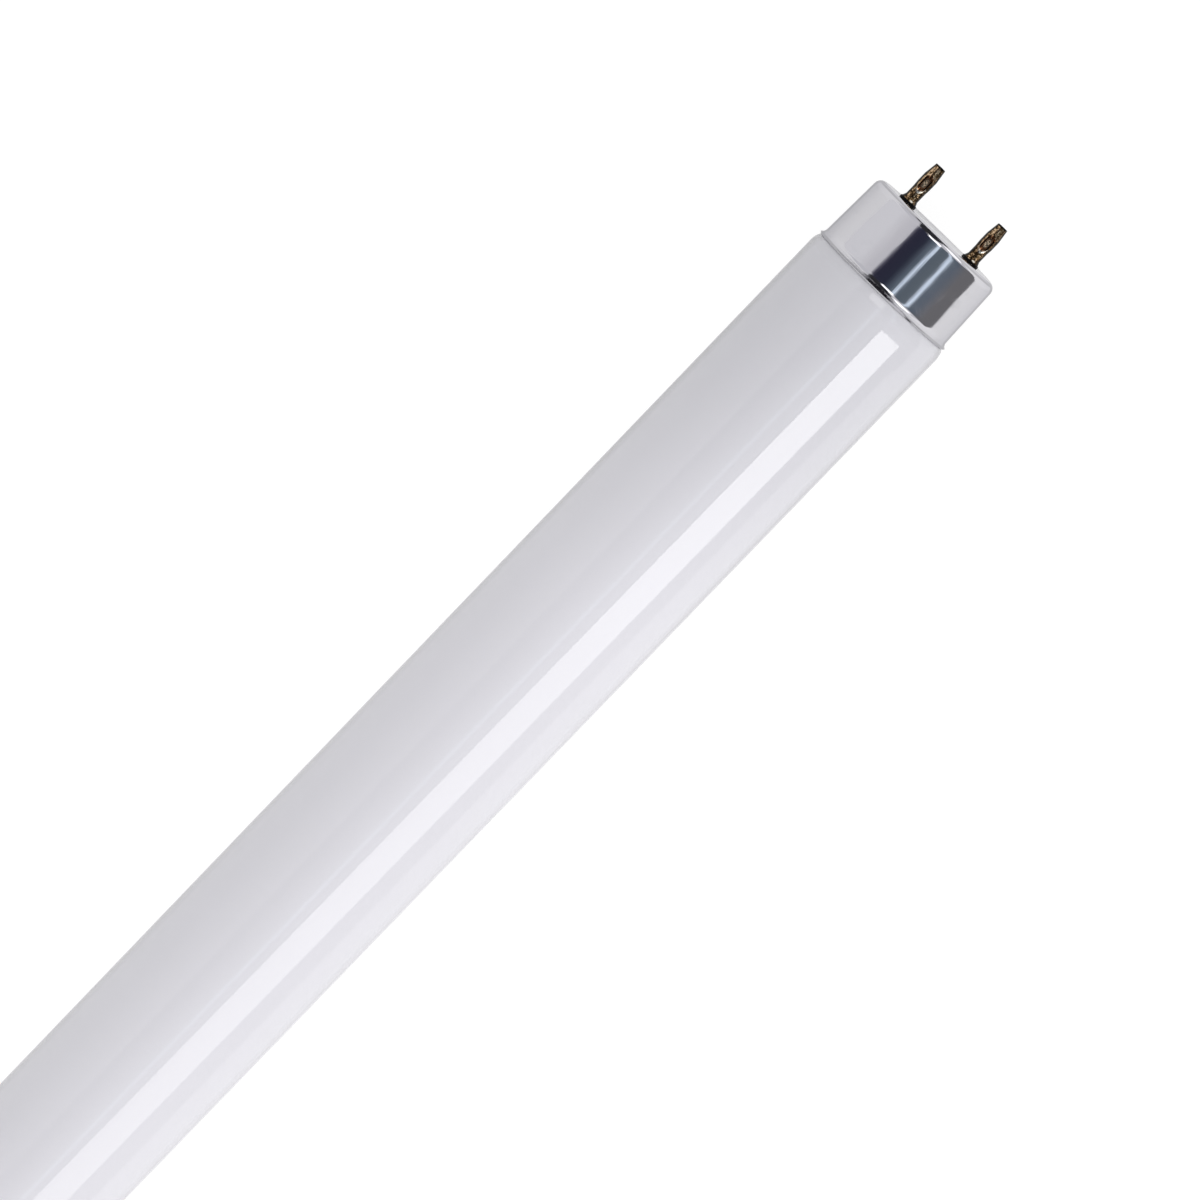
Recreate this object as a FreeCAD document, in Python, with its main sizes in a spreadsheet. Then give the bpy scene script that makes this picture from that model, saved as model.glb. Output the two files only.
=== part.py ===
import FreeCAD, Part
import os
import re
import Sketcher
from FreeCAD import Placement, Rotation, Vector

# A straight fluorescent tube with a two-pin cap at each end.
# Millimetres and degrees. The tube's axis is X, a cap's two pins lie side by side along Y, and Z is up.
# The origin is the middle of the tube. A cap and what it holds are drawn at an end of their own:
# the cap's end face is at x = 0 there, +X points out along the pins, and a depth is measured inwards.

DOCUMENT = FreeCAD.newDocument("FluorescentTube")
FOLDER = "parts"
NEAR = 1e-4

# How a sketch numbers its origin, and the points of a line or an arc
ORIGIN = -1
START, END, CENTRE = range(1, 4)

SIZES = {
    # Between the two end faces, and the glass that spans them
    "face_to_face": 589.0,
    "glass_diameter": 25.74,
    "glass_wall": 0.6,
    # Where the glass draws in to pass into the cap
    "shoulder_angle": 45,
    "shoulder_bend": 3.1,
    "neck_bend": 1.0,
    "lip_gap": 0.11,
    # The sealed end: the rim, the funnel that runs back into the tube, its stem and the pinched press
    "rim_depth": 5.5,
    "rim_bend": 0.25,
    "funnel_inset": 0.9,
    "funnel_length": 5.5,
    "funnel_wall": 0.5,
    "stem_bore": 6.0,
    "stem_wall": 0.6,
    "stem_depth": 27.0,
    "press_length": 6.0,
    # The exhaust tube, melted shut at its tip
    "exhaust_diameter": 3.6,
    "exhaust_wall": 0.7,
    "exhaust_depth": 6.5,
    "exhaust_tip": 1.6,
    # The drawn cap: a cup with a slight taper, a round corner and a lip that flares over the glass
    "cap_length": 12.0,
    "cap_wall": 0.25,
    "cap_inset": 0.69,
    "cap_taper": 0.38,
    "corner_bend": 1.3,
    "lip_rise": 0.5,
    "lip_angle": 56,
    "lip_bend": 0.9,
    # The ring of cement between the glass and the cap
    "cement_thickness": 0.45,
    "cement_setback": 0.4,
    # The insulating plate behind the end face, with a collar round each pin
    "plate_thickness": 1.6,
    "plate_play": 0.1,
    "collar_diameter": 3.0,
    "collar_height": 0.35,
    "collar_play": 0.05,
    "collar_edge": 0.1,
    # The hollow contact pins
    "pin_spacing": 12.7,
    "pin_length": 7.14,
    "pin_diameter": 2.35,
    "pin_root_diameter": 2.2,
    "pin_tip_diameter": 1.76,
    "pin_wall": 0.35,
    "pin_play": 0.02,
    "pin_edge": 0.12,
    "swell_place": 3.4,
    "swell_slope": 0.9,
    "tip_taper": 2.15,
    "rivet_diameter": 4.0,
    "rivet_height": 0.4,
    "foot_diameter": 2.7,
    "foot_height": 0.6,
    # The crimp that grips the lead wire: an oval dent in the top and the bottom of each pin
    "dent_place": 3.8,
    "dent_length": 3.3,
    "dent_width": 1.6,
    "floor_length": 2.0,
    "floor_width": 0.9,
    "crimp_overlap": 0.04,
    # The lead wires from the press to the pins
    "wire_diameter": 0.5,
    "wire_spread": 4.8,
    "wire_turn_depth": 9.0,
    "wire_straight_depth": 4.2,
    "wire_setback": 0.4,
    "wire_bend": 2.0,
}

# Sizes that follow from the ones above, each written with their names
FORMULAS = {
    "half_length": "(face_to_face / 2)",
    "glass_radius": "(glass_diameter / 2)",
    "skirt_radius": "(glass_radius - cap_inset)",
    "face_radius": "(skirt_radius - cap_taper)",
    "lip_radius": "(skirt_radius + lip_rise)",
    # The lip's bent wall ends square to itself, so its inner edge reaches deepest
    "lip_edge_depth": "(cap_length - cap_wall * sin(lip_angle))",
    "lip_edge_radius": "(lip_radius - cap_wall * cos(lip_angle))",
    "skirt_depth": "(lip_edge_depth - lip_rise / tan(lip_angle))",
    "inner_skirt_depth": "(skirt_depth + cap_wall * tan(lip_angle / 2))",
    # The glass clears the lip by the lip gap, then draws in to the neck that the cement holds
    "neck_radius": "(skirt_radius - cap_wall - cement_thickness)",
    "shoulder_depth": "(cap_length + (glass_radius - lip_edge_radius + lip_gap) / tan(shoulder_angle))",
    "neck_depth": "(shoulder_depth - (glass_radius - neck_radius) / tan(shoulder_angle))",
    "shoulder_shift": "(glass_wall * tan(shoulder_angle / 2))",
    "neck_end_depth": "(neck_depth - neck_bend * tan(shoulder_angle / 2))",
    "stem_radius": "(stem_bore / 2)",
    "exhaust_radius": "(exhaust_diameter / 2)",
    "exhaust_bore_radius": "(exhaust_radius - exhaust_wall)",
    "plate_back": "(cap_wall + plate_thickness)",
    "root_radius": "(pin_root_diameter / 2)",
    "swell_radius": "(pin_diameter / 2)",
    "tip_radius": "(pin_tip_diameter / 2)",
    "taper_place": "(pin_length - tip_taper)",
    "pin_side": "(pin_spacing / 2)",
    "wire_radius": "(wire_diameter / 2)",
    "wire_side": "(wire_spread / 2)",
}


def write_sheet():
    """Put each driving size in a cell of its own, as a plain number with its name as alias."""
    sheet = DOCUMENT.addObject("Spreadsheet::Sheet", "Sizes")
    for row, (name, value) in enumerate(SIZES.items(), start=1):
        sheet.set(f"A{row}", name)
        sheet.set(f"B{row}", str(value))
        sheet.setAlias(f"B{row}", name)
    DOCUMENT.recompute()
    return sheet


SHEET = write_sheet()


def bound(formula):
    """Give a formula with every name in it led back to the cells of the sheet."""
    def lead_back(found):
        name = found[0]
        if name in FORMULAS:
            return bound(FORMULAS[name])
        return f"Sizes.{name}" if name in SIZES else name
    return re.sub(r"[a-z_]+", lead_back, formula)


def value_of(formula):
    """Work a formula out from the sheet as it stands."""
    result = SHEET.evalExpression(bound(formula))
    return float(getattr(result, "Value", result))


def plane_of(body, role):
    return next(plane for plane in body.Origin.OriginFeatures if plane.Role == role)


def new_body(label):
    body = DOCUMENT.addObject("PartDesign::Body", "Body")
    body.Label = label
    return body


def new_sketch(body, role, name, offset="0"):
    """A sketch on one of the body's own planes, moved off it along its normal by a formula."""
    sketch = body.newObject("Sketcher::SketchObject", name)
    sketch.AttachmentSupport = [(plane_of(body, role), "")]
    sketch.MapMode = "FlatFace"
    if offset != "0":
        sketch.setExpression("AttachmentOffset.Base.z", bound(offset))
    return sketch


def add_size(sketch, constraint, formula):
    index = sketch.addConstraint(constraint)
    sketch.setExpression(f"Constraints[{index}]", bound(formula))


def place_point(sketch, geometry, end, across, up):
    """Hold one point of the sketch at two formulas, measured from the sketch's origin."""
    for kind, formula in (("DistanceX", across), ("DistanceY", up)):
        constraint = Sketcher.Constraint(kind, ORIGIN, START, geometry, end, value_of(formula))
        if formula == "0":
            sketch.addConstraint(constraint)
        else:
            add_size(sketch, constraint, formula)


def draw_lines(sketch, corners, closed=True):
    """Join corners, each a pair of formulas, by straight lines."""
    spots = [Vector(value_of(across), value_of(up), 0) for across, up in corners]
    count = len(corners) if closed else len(corners) - 1
    for index in range(count):
        sketch.addGeometry(Part.LineSegment(spots[index], spots[(index + 1) % len(spots)]))
    for index in range(count if closed else count - 1):
        sketch.addConstraint(Sketcher.Constraint("Coincident", index, END, (index + 1) % count, START))
    for index in range(count):
        place_point(sketch, index, START, *corners[index])
    if not closed:
        place_point(sketch, count - 1, END, *corners[-1])


def draw_circle(sketch, across, up, radius):
    centre = Vector(value_of(across), value_of(up), 0)
    circle = sketch.addGeometry(Part.Circle(centre, Vector(0, 0, 1), value_of(radius)))
    place_point(sketch, circle, CENTRE, across, up)
    add_size(sketch, Sketcher.Constraint("Radius", circle, value_of(radius)), radius)


def draw_slot(sketch, place, length, width):
    """A slot along the sketch's X, its middle at a place on X: two half circles joined by two lines."""
    radius = f"(({width}) / 2)"
    reach = f"((({length}) - ({width})) / 2)"
    size = value_of(radius)
    ends = [Vector(value_of(f"{place} - {reach}"), 0, 0), Vector(value_of(f"{place} + {reach}"), 0, 0)]
    upright = Vector(0, 0, 1)
    quarter = value_of("pi") / 2
    left = sketch.addGeometry(Part.ArcOfCircle(Part.Circle(ends[0], upright, size), quarter, 3 * quarter))
    right = sketch.addGeometry(Part.ArcOfCircle(Part.Circle(ends[1], upright, size), -quarter, quarter))
    side = Vector(0, size, 0)
    top = sketch.addGeometry(Part.LineSegment(ends[1] + side, ends[0] + side))
    bottom = sketch.addGeometry(Part.LineSegment(ends[0] - side, ends[1] - side))
    for one, other in ((top, left), (left, bottom), (bottom, right), (right, top)):
        sketch.addConstraint(Sketcher.Constraint("Tangent", one, END, other, START))
    place_point(sketch, left, CENTRE, f"{place} - {reach}", "0")
    place_point(sketch, right, CENTRE, f"{place} + {reach}", "0")
    add_size(sketch, Sketcher.Constraint("Radius", right, size), radius)


def bend_corners(sketch, count, radius):
    """Bend an open path at each of its inner corners, in an arc that meets both lines smoothly."""
    for line in range(count):
        arc = sketch.GeometryCount
        sketch.fillet(line, END, value_of(radius), True, True)
        add_size(sketch, Sketcher.Constraint("Radius", arc, value_of(radius)), radius)


def add_feature(body, kind, name):
    feature = body.newObject(f"PartDesign::{kind}", name)
    body.Tip = feature
    return feature


def revolve(body, name, corners):
    """Turn a closed outline, drawn above the axis, once round X."""
    sketch = new_sketch(body, "XY_Plane", f"{name}Outline")
    draw_lines(sketch, corners)
    feature = add_feature(body, "Revolution", name)
    feature.Profile = sketch
    feature.ReferenceAxis = (sketch, ["H_Axis"])
    feature.Angle = 360
    DOCUMENT.recompute()
    return feature


def extrude(body, kind, name, offset, length, circles, reverse=False):
    """Pad or pocket circles that face along X, from a plane at an offset, by a length."""
    sketch = new_sketch(body, "YZ_Plane", f"{name}Outline", offset)
    for across, up, radius in circles:
        draw_circle(sketch, across, up, radius)
    feature = add_feature(body, kind, name)
    feature.Profile = sketch
    feature.Reversed = reverse
    feature.setExpression("Length", bound(length))
    DOCUMENT.recompute()
    return feature


def at_both_pins(radius):
    return [("pin_side", "0", radius), ("-1 * pin_side", "0", radius)]


def is_ring(edge, place, radius):
    """Whether an edge is a circle square to X, at this place along X and of this radius."""
    curve = edge.Curve
    if not isinstance(curve, Part.Circle) or abs(abs(curve.Axis.x) - 1) > NEAR:
        return False
    return abs(curve.Center.x - place) < NEAR and abs(curve.Radius - radius) < NEAR


def round_rings(body, name, radius, rings):
    """Round the circular edges found at the given places and radii."""
    base = body.Tip
    spots = [(value_of(place), value_of(size)) for place, size in rings]
    names = [
        f"Edge{number}"
        for number, edge in enumerate(base.Shape.Edges, start=1)
        if any(is_ring(edge, *spot) for spot in spots)
    ]
    fillet = add_feature(body, "Fillet", name)
    fillet.Base = (base, names)
    fillet.setExpression("Radius", bound(radius))
    DOCUMENT.recompute()


def mirror(body, name, role, originals):
    feature = body.newObject("PartDesign::Mirrored", name)
    feature.Originals = originals
    feature.MirrorPlane = (plane_of(body, role), [""])
    body.Tip = feature
    DOCUMENT.recompute()


def depth(formula):
    """The place along X that lies this deep behind the end face."""
    return f"-1 * ({formula})"


def inwards(formula):
    """The place along X, from the middle of the tube, that lies this deep behind the end face."""
    return f"half_length - ({formula})"


def build_glass(label):
    """The sealed glass: a hollow tube, drawn in at each end and closed there by its stem."""
    body = new_body(label)
    funnel_end = "rim_depth + funnel_length"
    press_end = "stem_depth + press_length"
    outside = [
        ("0", "glass_radius"),
        (inwards("shoulder_depth"), "glass_radius"),
        (inwards("neck_depth"), "neck_radius"),
        (inwards("rim_depth"), "neck_radius"),
        (inwards("rim_depth"), "neck_radius - funnel_inset"),
        (inwards(funnel_end), "stem_radius"),
        (inwards("stem_depth"), "stem_radius"),
        (inwards("stem_depth"), "exhaust_radius"),
        (inwards("exhaust_depth + exhaust_tip"), "exhaust_radius"),
        (inwards("exhaust_depth"), "0"),
    ]
    inside = [
        (inwards("exhaust_depth + exhaust_wall"), "0"),
        (inwards("exhaust_depth + exhaust_wall + exhaust_tip"), "exhaust_bore_radius"),
        (inwards(press_end), "exhaust_bore_radius"),
        (inwards(press_end), "stem_radius + stem_wall"),
        (inwards(f"{funnel_end} + funnel_wall"), "stem_radius + stem_wall"),
        (inwards("rim_depth + funnel_wall"), "neck_radius - glass_wall"),
        (inwards("neck_depth + shoulder_shift"), "neck_radius - glass_wall"),
        (inwards("shoulder_depth + shoulder_shift"), "glass_radius - glass_wall"),
        ("0", "glass_radius - glass_wall"),
    ]
    half = revolve(body, "HalfTube", outside + inside)
    mirror(body, "OtherHalf", "YZ_Plane", [half])
    for name, radius, place, size in (
        ("OuterShoulder", "shoulder_bend", "shoulder_depth", "glass_radius"),
        ("InnerShoulder", "shoulder_bend - glass_wall", "shoulder_depth + shoulder_shift",
         "glass_radius - glass_wall"),
        ("OuterNeck", "neck_bend", "neck_depth", "neck_radius"),
        ("InnerNeck", "neck_bend + glass_wall", "neck_depth + shoulder_shift", "neck_radius - glass_wall"),
        ("Rim", "rim_bend", "rim_depth", "neck_radius"),
    ):
        round_rings(body, name, radius, [(inwards(place), size), (f"-1 * ({inwards(place)})", size)])
    return body


def build_cap(label):
    """The drawn aluminium cup, with a hole in its end face for each collar."""
    body = new_body(label)
    revolve(body, "Cup", [
        ("0", "0"),
        ("0", "face_radius"),
        (depth("skirt_depth"), "skirt_radius"),
        (depth("lip_edge_depth"), "lip_radius"),
        (depth("cap_length"), "lip_edge_radius"),
        (depth("inner_skirt_depth"), "skirt_radius - cap_wall"),
        (depth("cap_wall"), "face_radius - cap_wall"),
        (depth("cap_wall"), "0"),
    ])
    for name, radius, place, size in (
        ("OuterCorner", "corner_bend", "0", "face_radius"),
        ("InnerCorner", "corner_bend - cap_wall", depth("cap_wall"), "face_radius - cap_wall"),
        ("OuterLip", "lip_bend", depth("skirt_depth"), "skirt_radius"),
        ("InnerLip", "lip_bend + cap_wall", depth("inner_skirt_depth"), "skirt_radius - cap_wall"),
    ):
        round_rings(body, name, radius, [(place, size)])
    extrude(body, "Pocket", "CollarHoles", "0", "2 * cap_wall",
            at_both_pins("collar_diameter / 2 + collar_play"))
    return body


def build_insulator(label):
    """The moulded plate behind the end face, with a collar that comes out round each pin."""
    body = new_body(label)
    front = depth("cap_wall")
    extrude(body, "Pad", "Plate", front, "plate_thickness",
            [("0", "0", "face_radius - corner_bend - plate_play")], reverse=True)
    extrude(body, "Pad", "Collars", front, "cap_wall + collar_height", at_both_pins("collar_diameter / 2"))
    round_rings(body, "CollarEdges", "collar_edge", [("collar_height", "collar_diameter / 2")])
    extrude(body, "Pocket", "PinHoles", "collar_height", "collar_height + plate_back",
            at_both_pins("root_radius + pin_play"))
    return body


def build_cement(label):
    """The ring of cement that fills the gap between the glass neck and the tapered cap."""
    body = new_body(label)
    front = "rim_depth + cement_setback"
    back = "neck_end_depth"

    def bore_radius(place):
        run = f"(({place} - cap_wall) / (inner_skirt_depth - cap_wall))"
        return f"face_radius - cap_wall + cap_taper * {run}"

    revolve(body, "Ring", [
        (depth(front), "neck_radius"),
        (depth(front), bore_radius(front)),
        (depth(back), bore_radius(back)),
        (depth(back), "neck_radius"),
    ])
    return body


def build_pin(label):
    """The hollow pin: a rivet head inside, a flared foot, a swell at the crimp and a narrow tip."""
    body = new_body(label)
    head = depth("plate_back + rivet_height")
    swell_start = "swell_place - swell_slope"
    revolve(body, "Barrel", [
        (head, "root_radius - pin_wall"),
        (head, "rivet_diameter / 2"),
        (depth("plate_back"), "rivet_diameter / 2"),
        (depth("plate_back"), "root_radius"),
        ("collar_height", "root_radius"),
        ("collar_height", "foot_diameter / 2"),
        ("collar_height + foot_height", "root_radius"),
        (swell_start, "root_radius"),
        ("swell_place", "swell_radius"),
        ("taper_place", "swell_radius"),
        ("pin_length", "tip_radius"),
        ("pin_length", "tip_radius - pin_wall"),
        ("taper_place", "swell_radius - pin_wall"),
        ("swell_place", "swell_radius - pin_wall"),
        (swell_start, "root_radius - pin_wall"),
    ])
    round_rings(body, "Tip", "pin_edge", [("pin_length", "tip_radius")])
    crimp(body)
    return body


def crimp(body):
    """Press the wall in from above and below until it meets the wire, keeping the wall's thickness."""
    floor = "wire_radius + pin_wall"
    top = "swell_radius - pin_wall + crimp_overlap"
    pushed = loft_slots(body, "AdditiveLoft", "Pushed", [
        (top, "dent_length - pin_wall / 2", "dent_width - pin_wall / 2"),
        ("wire_radius", "floor_length + pin_wall", "floor_width + pin_wall"),
    ])
    dent = loft_slots(body, "SubtractiveLoft", "Dent", [
        ("swell_radius", "dent_length", "dent_width"),
        (floor, "floor_length", "floor_width"),
    ])
    mirror(body, "CrimpBelow", "XY_Plane", [pushed, dent])


def loft_slots(body, kind, name, slots):
    """Loft between two slots that lie level, each at a height over the pin's axis."""
    sketches = []
    for height, length, width in slots:
        sketch = new_sketch(body, "XY_Plane", f"{name}Outline", height)
        draw_slot(sketch, "dent_place", length, width)
        sketches.append(sketch)
    DOCUMENT.recompute()
    feature = add_feature(body, kind, name)
    feature.Profile = sketches[0]
    feature.Sections = sketches[1:]
    feature.Ruled = True
    DOCUMENT.recompute()
    return feature


def build_wire(label):
    """The lead wire: straight out of the press, across to its pin, and up the pin's bore."""
    body = new_body(label)
    path = new_sketch(body, "XY_Plane", "Path")
    draw_lines(path, [
        (depth("stem_depth"), "wire_side"),
        (depth("wire_turn_depth"), "wire_side"),
        (depth("wire_straight_depth"), "pin_side"),
        ("pin_length - wire_setback", "pin_side"),
    ], closed=False)
    bend_corners(path, 2, "wire_bend")
    section = new_sketch(body, "YZ_Plane", "Section", depth("stem_depth"))
    draw_circle(section, "wire_side", "0", "wire_radius")
    DOCUMENT.recompute()
    pipe = add_feature(body, "AdditivePipe", "Wire")
    pipe.Profile = section
    pipe.Spine = (path, [f"Edge{number}" for number in range(1, len(path.Shape.Edges) + 1)])
    DOCUMENT.recompute()
    return body


def put(body, end, side="0", turn=None):
    """Set a piece at an end of the tube: +1 is the right-hand end, -1 the left-hand one."""
    facing = Rotation(Vector(0, 0, 1), 0 if end > 0 else 180)
    body.Placement = Placement(Vector(0, 0, 0), facing.multiply(turn or Rotation()))
    body.setExpression("Placement.Base.x", bound(f"{end} * half_length"))
    if side != "0":
        body.setExpression("Placement.Base.y", bound(side))


def build_end(end, name):
    """Everything that one cap carries. Front is -Y and back is +Y."""
    put(build_cap(f"cap_{name}"), end)
    put(build_insulator(f"insulator_{name}"), end)
    put(build_cement(f"cement_{name}"), end)
    for row, sign in (("front", -1), ("back", 1)):
        put(build_pin(f"pin_{name}_{row}"), end, f"{sign} * pin_side")
        flip = Rotation(Vector(1, 0, 0), 0 if sign == end else 180)
        put(build_wire(f"lead_wire_{name}_{row}"), end, turn=flip)


def check(pieces):
    """Stop before anything is written if a feature failed or a piece isn't one sound solid."""
    for thing in DOCUMENT.Objects:
        if {"Invalid", "Error"} & set(thing.State):
            raise RuntimeError(f"{thing.Name} ({thing.Label}) failed: {thing.State}")
    for piece in pieces:
        shape = piece.Shape
        if shape.isNull() or not shape.isValid() or len(shape.Solids) != 1:
            raise RuntimeError(f"{piece.Label} isn't one sound solid")


def write(pieces):
    os.makedirs(FOLDER, exist_ok=True)
    for piece in pieces:
        piece.Shape.exportStep(f"{FOLDER}/{piece.Label}.step")
        print(f"{piece.Label}: {piece.Shape.Volume:.2f} cubic mm, {len(piece.Shape.Faces)} faces")


build_glass("glass_tube")
build_end(1, "right")
build_end(-1, "left")
DOCUMENT.recompute()
PIECES = [thing for thing in DOCUMENT.Objects if thing.TypeId == "PartDesign::Body"]
check(PIECES)
write(PIECES)
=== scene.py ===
# %% [markdown]
# # A fluorescent tube on a white table
# The solids of the tube are packed already: a long sealed glass, and at each end a drawn aluminium cap,
# a black insulating plate, a ring of cement, two hollow pins and their lead wires. This lesson dresses
# them for a catalogue picture. Nothing is moved or reshaped. What it adds is finishes made of shader
# nodes, a studio round the tube, and a camera. All lengths are in metres, and the tube lies along X.

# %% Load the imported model
import math

import bmesh
import bpy
from mathutils import Matrix, Vector


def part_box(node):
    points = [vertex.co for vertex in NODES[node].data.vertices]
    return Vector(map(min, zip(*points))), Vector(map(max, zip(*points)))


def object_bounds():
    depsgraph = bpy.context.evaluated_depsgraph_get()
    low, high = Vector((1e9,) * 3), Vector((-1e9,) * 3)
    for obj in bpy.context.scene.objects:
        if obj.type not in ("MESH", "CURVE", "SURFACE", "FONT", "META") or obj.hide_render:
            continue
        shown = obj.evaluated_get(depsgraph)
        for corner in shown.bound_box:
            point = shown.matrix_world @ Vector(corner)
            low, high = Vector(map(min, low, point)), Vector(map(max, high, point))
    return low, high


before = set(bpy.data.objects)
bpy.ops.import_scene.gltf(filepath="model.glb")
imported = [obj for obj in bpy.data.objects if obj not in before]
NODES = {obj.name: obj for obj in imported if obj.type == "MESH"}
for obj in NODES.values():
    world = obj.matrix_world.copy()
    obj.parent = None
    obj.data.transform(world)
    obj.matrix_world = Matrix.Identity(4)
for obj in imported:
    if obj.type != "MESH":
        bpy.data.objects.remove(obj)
CAD_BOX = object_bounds()
print("Pieces:", ", ".join(sorted(NODES)))

# %% [markdown]
# Some finishes change along the tube: the glass greys towards a cap, the metal is marked near its lip,
# and the brass is stained round its crimp. Those places could be typed in from the drawing, but measured
# ones still fit when a size in the drawing changes. Both ends are alike, so the right-hand one is
# measured, and a finish counts from the middle of the tube.

# %% Measure the places that the finishes need
MM = 0.001
CAP_START, CAP_END = (corner.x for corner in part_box("cap_right"))
PIN_LOW, PIN_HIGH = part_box("pin_right_back")
PIN_SIDE = (PIN_LOW.y + PIN_HIGH.y) / 2
PIN_TIP = PIN_HIGH.x
print("The cap runs from", round(CAP_START, 5), "to", round(CAP_END, 5), "along X")
print("The pins stand", round(PIN_SIDE, 5), "to each side and end at", round(PIN_TIP, 5))

# %% [markdown]
# A finish is easier to read as a recipe than as a pile of clicks. A few small helpers do the wiring:
# one places a shader node, one gives its inputs by name, and the others are the steps that every
# recipe needs, which are a sum, the overlap of some masks, a range and a blend of two colours.

# %% Helpers that place and join shader nodes


def place(tree, kind, **settings):
    """Add a shader node. A setting is a property of the node, such as operation."""
    node = tree.nodes.new(f"ShaderNode{kind}")
    for name, value in settings.items():
        setattr(node, name, value)
    return node


def feed(tree, node, **inputs):
    """Give a node's inputs: a number or a colour is set, and an output is joined on."""
    for name, value in inputs.items():
        socket = node.inputs[name.replace("_", " ")]
        if isinstance(value, bpy.types.NodeSocket):
            tree.links.new(value, socket)
        else:
            socket.default_value = value
    return node


def work_out(tree, operation, *terms):
    """A Math node: each term is a number or another node's output."""
    node = place(tree, "Math", operation=operation)
    for socket, term in zip(node.inputs, terms):
        if isinstance(term, bpy.types.NodeSocket):
            tree.links.new(term, socket)
        else:
            socket.default_value = term
    return node.outputs["Value"]


def overlap(tree, *masks):
    """Where several masks hold at once: their product."""
    product = masks[0]
    for mask in masks[1:]:
        product = work_out(tree, "MULTIPLY", product, mask)
    return product


def spread(tree, value, low, high, to_low=0.0, to_high=1.0, smooth=True):
    """Map a value from one range to another, held at the ends. The first range may run downwards."""
    kind = "SMOOTHSTEP" if smooth else "LINEAR"
    node = place(tree, "MapRange", interpolation_type=kind)
    feed(tree, node, Value=value)
    for end, number in (("From Min", low), ("From Max", high), ("To Min", to_low), ("To Max", to_high)):
        node.inputs[end].default_value = number
    return node.outputs["Result"]


def blend_colours(tree, share, first, second):
    """Mix two colours by a mask: 0 gives the first and 1 the second."""
    node = place(tree, "Mix", data_type="RGBA")
    for socket, value in ((node.inputs[0], share), (node.inputs[6], first), (node.inputs[7], second)):
        if isinstance(value, bpy.types.NodeSocket):
            tree.links.new(value, socket)
        else:
            socket.default_value = value
    return node.outputs[2]


print("Helpers ready")

# %% [markdown]
# Several finishes share the same small faults: a fine speckle, the lines that drawing leaves along a
# part, and soft smudges from handling. Their nodes could be copied into every material, but then each
# later change has to be made many times. So each is a node group, built once, with named inputs. It
# puts out only a mask or a height, and serves glass, metal and plastic with different numbers.

# %% Start a node group with named inputs and outputs


def new_group(title, inputs, outputs):
    """A shader node group with float sockets. Returns the tree, its input node and its output node."""
    tree = bpy.data.node_groups.new(title, "ShaderNodeTree")
    for name, value in inputs.items():
        socket = tree.interface.new_socket(name=name, in_out="INPUT", socket_type="NodeSocketFloat")
        socket.default_value = value
    for name in outputs:
        tree.interface.new_socket(name=name, in_out="OUTPUT", socket_type="NodeSocketFloat")
    return tree, tree.nodes.new("NodeGroupInput"), tree.nodes.new("NodeGroupOutput")


def per_millimetre(tree, size):
    """The scale of a texture whose features are as long as a size in millimetres."""
    return work_out(tree, "DIVIDE", 1 / MM, size)


print("Ready to make groups")

# %% [markdown]
# Speckle is the fine unevenness of any used surface. A painted picture could give it, but a noise in
# the object's own coordinates needs no picture and no unwrapped mesh, and it stays on the surface when
# the camera or the part moves. How strongly it shows is up to the finish that uses it.

# %% The speckle group
SPECKLE_CLIP = (0.3, 0.7)


def make_speckle():
    tree, given, result = new_group("speckle", {"Size": 0.5, "Detail": 3.0}, ["Mask"])
    spot = place(tree, "TexCoord").outputs["Object"]
    noise = place(tree, "TexNoise")
    feed(tree, noise, Vector=spot, Scale=per_millimetre(tree, given.outputs["Size"]))
    feed(tree, noise, Detail=given.outputs["Detail"], Roughness=0.6)
    feed(tree, result, Mask=spread(tree, noise.outputs["Fac"], *SPECKLE_CLIP))
    return tree


SPECKLE = make_speckle()
print("Group made:", SPECKLE.name)

# %% [markdown]
# Drawn glass tube and deep-drawn metal both carry faint lines along the way they were pulled. A picture
# of scratches would repeat. A noise that is squeezed across and stretched along X never does, and with
# other numbers the same group gives the slow waves of a thin metal wall.

# %% The drawn-lines group


def make_drawn_lines():
    tree, given, result = new_group("drawn_lines", {"Length": 60.0, "Width": 0.8}, ["Height"])
    spot = place(tree, "TexCoord").outputs["Object"]
    apart = place(tree, "SeparateXYZ")
    feed(tree, apart, Vector=spot)
    along = per_millimetre(tree, given.outputs["Length"])
    across = per_millimetre(tree, given.outputs["Width"])
    joined = place(tree, "CombineXYZ")
    feed(tree, joined, X=work_out(tree, "MULTIPLY", apart.outputs["X"], along))
    feed(tree, joined, Y=work_out(tree, "MULTIPLY", apart.outputs["Y"], across))
    feed(tree, joined, Z=work_out(tree, "MULTIPLY", apart.outputs["Z"], across))
    noise = place(tree, "TexNoise")
    feed(tree, noise, Vector=joined.outputs["Vector"], Scale=1.0, Detail=2.0, Roughness=0.5)
    feed(tree, result, Height=noise.outputs["Fac"])
    return tree


DRAWN_LINES = make_drawn_lines()
print("Group made:", DRAWN_LINES.name)

# %% [markdown]
# Smudges are large soft patches with a torn edge: where a hand has been, a polished surface is a
# little duller. One noise alone would spread them evenly. Two noises of different size, multiplied,
# leave whole stretches clean and let the patches come in clusters.

# %% The smudges group
SMUDGE_CLIP = (0.42, 0.68)
SMUDGE_LAYERS = ({"share": 1.0, "detail": 2.0}, {"share": 0.22, "detail": 6.0})


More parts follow.
